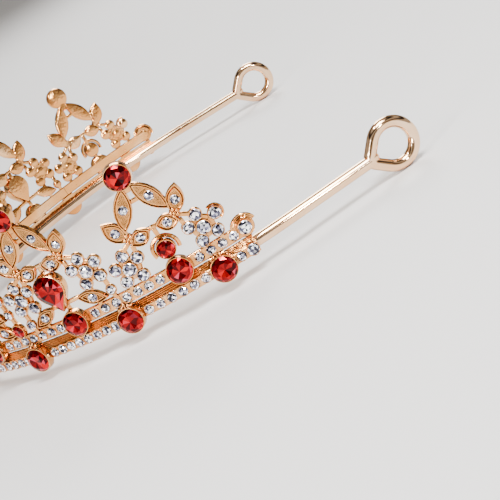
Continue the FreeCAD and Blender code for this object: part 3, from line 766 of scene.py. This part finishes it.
def crest(casting, crown):
    casting.motif = 0, crown
    casting.stone(0, crown, RED, red=True)
    for side in (-1, 1):
        for (x0, drop0), (x1, drop1), share in CREST_LEAVES:
            casting.leaf((side * x0, crown - drop0), (side * x1, crown - drop1), share * LEAF_WIDTH)
        for (x0, drop0), (x1, drop1) in CREST_BARS:
            casting.bar((side * x0, crown - drop0), (side * x1, crown - drop1))
    for across, drop in CREST_TIES:
        casting.bar((-across, crown - drop), (across, crown - drop))
    for across, drop in CREST_KNOTS:
        casting.knot(across, crown - drop)
        if across:
            casting.grains(across, crown - drop)


def pendant(casting, crown, pear):
    casting.motif = 0, crown
    foot = RAIL_ROW + RED + CUP_WALL
    head = crown - PEAR_DROP - PEAR_HEAD if pear else crown - BUD_DROP
    bottom = head - (PEAR_REACH if pear else BUD + CUP_WALL)
    if pear:
        casting.pear(head)
    else:
        casting.stone(0, head, BUD, red=True)
        collect(casting.metal, BUD_ARCH, casting.matrix(0, head))
    casting.bar((0, crown - HOOK_DROP), (0, head + BUD))
    casting.bar((0, bottom + PENDANT_LAP), (0, foot - PENDANT_LAP))
    count = round((bottom - foot) / LEAF_RATE)
    for i in range(count):
        share = (bottom - foot) / count
        low, high = foot + i * share - LEAF_LAP, foot + (i + 1) * share + LEAF_LAP
        casting.leaf((0, low), (0, high), LEAF_WIDTH)


def tiers(casting, side, count, seed):
    (x0, rise0), (x1, rise1) = TIER_LEAF
    casting.motif = side * 0.5, TIER_FOOT
    for i in range(count):
        level = TIER_FOOT + i * TIER_RISE
        casting.leaf((side * x0, level + rise0), (side * x1, level + rise1), LEAF_WIDTH * TIER_SHARE)
        casting.bar((0, level + TIER_BAR[1]), (side * TIER_BAR[0], level + TIER_BAR[1]))
        if seed and i == 0:
            casting.stone(side * SEED_PLACE[0], level + SEED_PLACE[1], SEED, red=True)
        else:
            casting.stone(side * TIER_STONE[0], level + TIER_STONE[1], SMALL)


# %% [markdown]
# One function sets out a whole peak. The two halves of the tiara are mirror images, so the same function
# makes the left peaks with its side turned round.

# %% Peaks
def peak(node, angle, side, tier_count, pear, seed=False, last=False, centre=False):
    casting = Casting(angle, side)
    crown = SIDE_HEIGHT + tier_count * TIER_RISE
    step = (2 - BAY_GAP) / (BAY_ROW - 1)
    near = BAY_ROW // 2 if centre else BAY_ROW - BAY_ROW // 2
    far = 4 if last else BAY_ROW // 2
    first = casting.at(-(BAY_GAP / 2 + (near - 0.5) * step))
    final = side * END_ANGLE if last else casting.at(BAY_GAP / 2 + (far - 0.5) * step)
    section = plain_section(RAIL_LOW, RAIL_HIGH, PLATE)
    strip(casting, section, first + side * SOLDER_GAP, final - side * SOLDER_GAP)
    casting.stone(0, RAIL_ROW, RED, red=True)
    for way, count in ((-1, near), (1, far)):
        for i in range(count):
            casting.stone(way * (BAY_GAP / 2 + i * step), RAIL_ROW, SMALL)
    if last:
        end = BAY_GAP / 2 + (far + LOBE_STEP) * step
        casting.stone(end, RAIL_ROW + LOBE_RISE, FLOWER)
        for shape in LOBE:
            collect(casting.metal, shape, casting.matrix(end, RAIL_ROW + LOBE_RISE))
    crest(casting, crown)
    pendant(casting, crown, pear)
    for way in (-1, 1):
        petals = END_PETALS if last and way == 1 else PETALS
        for foot in flower(casting, way, crown - FLOWER_DROP, petals):
            casting.bar(foot, (foot[0], RAIL_ROW))
        tiers(casting, way, tier_count, seed and way == 1)
    finish_casting(casting, node)


peak("centre_peak", 0.0, 1, 5, True, centre=True)
for i, word in enumerate(("first", "second", "third", "last"), start=1):
    for side, hand in ((1, "right"), (-1, "left")):
        peak(f"{word}_peak_{hand}", i * PEAK_PITCH, side, 4 - i, i % 2 == 1, seed=i == 2, last=i == 4)

# %% [markdown]
# ## The band wire
# One length of round wire makes the band. A wire bender pulls it round a former for the arc, leaves the
# arms straight and turns each end round a pin for the eyelet. The mesh is made the same way: a circle is
# spun for each bend and extruded for each straight.

# %% Band wire
WIRE_CORNERS = 20
ARC_STEP = math.radians(2.5)
SOLDER_SIZE = 1.25, 1.7, 1.45
SOLDER_ALONG, SOLDER_UP = 0.4, 0.3  # the drop's middle past the neck and above the wire


def bend(bm, loop, centre, axis, angle):
    steps = max(4, int(abs(angle) / ARC_STEP))
    swept = bmesh.ops.spin(bm, geom=loop, cent=centre, axis=axis, angle=angle, steps=steps)
    return [item for item in swept["geom_last"] if isinstance(item, bmesh.types.BMEdge)]


def straight(bm, loop, vector):
    swept = bmesh.ops.extrude_edge_only(bm, edges=loop)["geom"]
    moved = {item for item in swept if isinstance(item, bmesh.types.BMVert)}
    bmesh.ops.translate(bm, verts=list(moved), vec=vector)
    edges = [item for item in swept if isinstance(item, bmesh.types.BMEdge)]
    return [edge for edge in edges if moved.issuperset(edge.verts)]


def wire_section(bm, centre, heading):
    turn = heading.to_track_quat("Z", "Y").to_matrix().to_4x4()
    made_ring = bmesh.ops.create_circle(bm, segments=WIRE_CORNERS, radius=WIRE_RADIUS,
                                        matrix=Matrix.Translation(centre) @ turn)
    return list({edge for vert in made_ring["verts"] for edge in vert.link_edges})


def wire_half(bm, side):
    """From the front round to the side, along the arm, and the eyelet."""
    up = Vector((0, 0, 1))
    toe = math.radians(TOE_IN)
    arm = Vector((-side * math.sin(toe), math.cos(toe), 0))
    level = Vector((0, 0, WIRE_Z))
    loop = wire_section(bm, level - Vector((0, BAND_RADIUS, 0)), Vector((side, 0, 0)))
    loop = bend(bm, loop, level, up, side * (math.pi / 2 + toe))
    straight(bm, loop, arm * ARM_LENGTH)
    neck = level + BAND_RADIUS * Vector((side * math.cos(toe), math.sin(toe), 0)) + arm * ARM_LENGTH
    tilt = math.asin(EYE_LIFT / EYE_REACH)
    axis = arm * math.cos(tilt) + up * math.sin(tilt)  # from the neck to the eyelet's middle
    rise = up * math.cos(tilt) - arm * math.sin(tilt)
    centre = neck + axis * EYE_REACH
    tip_centre = neck + axis * EYE_TIP
    slope = math.asin((EYE_RADIUS - EYE_TIP) / (EYE_REACH - EYE_TIP))
    # From the ring's middle to where a side leaves it
    touch = -axis * math.sin(slope) + rise * math.cos(slope)
    side_run = (tip_centre + touch * EYE_TIP) - (centre + touch * EYE_RADIUS)
    lower_run = side_run - 2 * side_run.dot(rise) * rise  # the other side, mirrored in the axis
    hinge = arm.cross(up)
    loop = wire_section(bm, centre + touch * EYE_RADIUS, -side_run)
    loop = bend(bm, loop, centre, hinge, -(math.pi + 2 * slope))
    loop = straight(bm, loop, lower_run)
    loop = bend(bm, loop, tip_centre, hinge, -(math.pi - 2 * slope))
    straight(bm, loop, -side_run)


def solder(bm, side):
    """A drop of solder where the wire's end meets the wire."""
    toe = math.radians(TOE_IN)
    out = BAND_RADIUS * math.cos(toe) - ARM_LENGTH * math.sin(toe)
    along = BAND_RADIUS * math.sin(toe) + ARM_LENGTH * math.cos(toe) + SOLDER_ALONG
    place = Matrix.Translation((side * out, along, WIRE_Z + SOLDER_UP))
    drop = place @ Matrix.Diagonal((*SOLDER_SIZE, 1))
    bmesh.ops.create_icosphere(bm, subdivisions=3, radius=1.0, matrix=drop)


wire_bm = bmesh.new()
for side in (1, -1):
    wire_half(wire_bm, side)
    solder(wire_bm, side)
bmesh.ops.remove_doubles(wire_bm, verts=wire_bm.verts, dist=0.01)
bmesh.ops.recalc_face_normals(wire_bm, faces=wire_bm.faces)
bmesh.ops.transform(wire_bm, matrix=Matrix.Scale(MM, 4), verts=wire_bm.verts)
wire = finish_piece(wire_bm, "band_wire", wire_gold, True)
print("band wire:", len(wire.data.polygons), "faces")

# %% [markdown]
# ## Stage
# A pale floor and soft lamps are enough. Metal shows what it reflects, so the world is not one tone: level
# strips of light with darker gaps between them draw fine lines along the wire and round each cup.

# %% Floor
floor_bm = bmesh.new()
bmesh.ops.create_grid(floor_bm, x_segments=1, y_segments=1, size=20.0)
floor_mesh = as_mesh(floor_bm, "floor")
floor = bpy.data.objects.new("floor", floor_mesh)
bpy.context.scene.collection.objects.link(floor)
floor_paint, floor_tree, floor_shader = new_material("pale_floor")
floor_shader.inputs["Base Color"].default_value = linear("#dcdad8")
floor_shader.inputs["Roughness"].default_value = 0.7
floor_mesh.materials.append(floor_paint)
print("floor at z = 0")

# %% Lamps and world
def lamp(name, place, target, width, power):
    light = bpy.data.lights.new(name, "AREA")
    light.shape = "DISK"
    light.size = width
    light.energy = power
    holder = bpy.data.objects.new(name, light)
    holder.location = place
    holder.rotation_euler = (Vector(target) - Vector(place)).to_track_quat("-Z", "Y").to_euler()
    bpy.context.scene.collection.objects.link(holder)


lamp("key_softbox", (0.35, 0.15, 0.7), (0, 0, 0.02), 0.35, 11.0)
lamp("side_softbox", (0.7, -0.6, 0.2), (0, 0, 0.02), 0.22, 6.0)
lamp("back_softbox", (-0.7, 0.2, 0.5), (0, 0, 0.02), 0.4, 7.0)
world = bpy.data.worlds.new("studio")
world.use_nodes = True
sky = world.node_tree
direction = add(sky, "ShaderNodeTexCoord")
strips = add(sky, "ShaderNodeTexWave", links=[("Vector", direction, "Generated")], bands_direction="Z",
             inputs=[("Scale", 0.75), ("Distortion", 0.6), ("Phase Offset", 1.2)])
glow = ramp(sky, strips, "Fac", [(0.1, "#3c342e"), (0.4, "#8c847c"), (0.7, "#ece6df")])
backdrop = sky.nodes["Background"]
sky.links.new(glow.outputs["Color"], backdrop.inputs["Color"])
backdrop.inputs["Strength"].default_value = 0.6
bpy.context.scene.world = world
for i, place in enumerate(((0.5, 0.15, 0.22), (0.45, -0.35, 0.3), (0.2, -0.1, 0.6))):
    lamp(f"sparkle_{i}", place, (0.05, -0.02, 0.02), 0.04, 1.2)
print("lamps ready")

# %% [markdown]
# ## Camera
# The camera looks at the right arm from outside, a little from above, and is rolled to one side.

# %% Camera
AZIMUTH, ELEVATION, ROLL = math.radians(86.29), math.radians(15.84), math.radians(-32.34)
DISTANCE = 323.2 * MM
LENS = 109.8
AIM = Vector((76.94, -3.54, 4.68)) * MM

level_back = Vector((math.sin(AZIMUTH), -math.cos(AZIMUTH), 0))
back = level_back * math.cos(ELEVATION) + Vector((0, 0, math.sin(ELEVATION)))
right = Vector((math.cos(AZIMUTH), math.sin(AZIMUTH), 0))
above = back.cross(right)
rolled_right = right * math.cos(ROLL) + above * math.sin(ROLL)
rolled_up = above * math.cos(ROLL) - right * math.sin(ROLL)
camera_data = bpy.data.cameras.new("camera")
camera_data.lens = LENS
camera_data.clip_start = 0.01
camera = bpy.data.objects.new("camera", camera_data)
turn = Matrix((rolled_right, rolled_up, back)).transposed().to_4x4()
camera.matrix_world = Matrix.Translation(AIM + back * DISTANCE) @ turn
bpy.context.scene.collection.objects.link(camera)
bpy.context.scene.camera = camera
print("camera at", [round(v, 3) for v in camera.location])
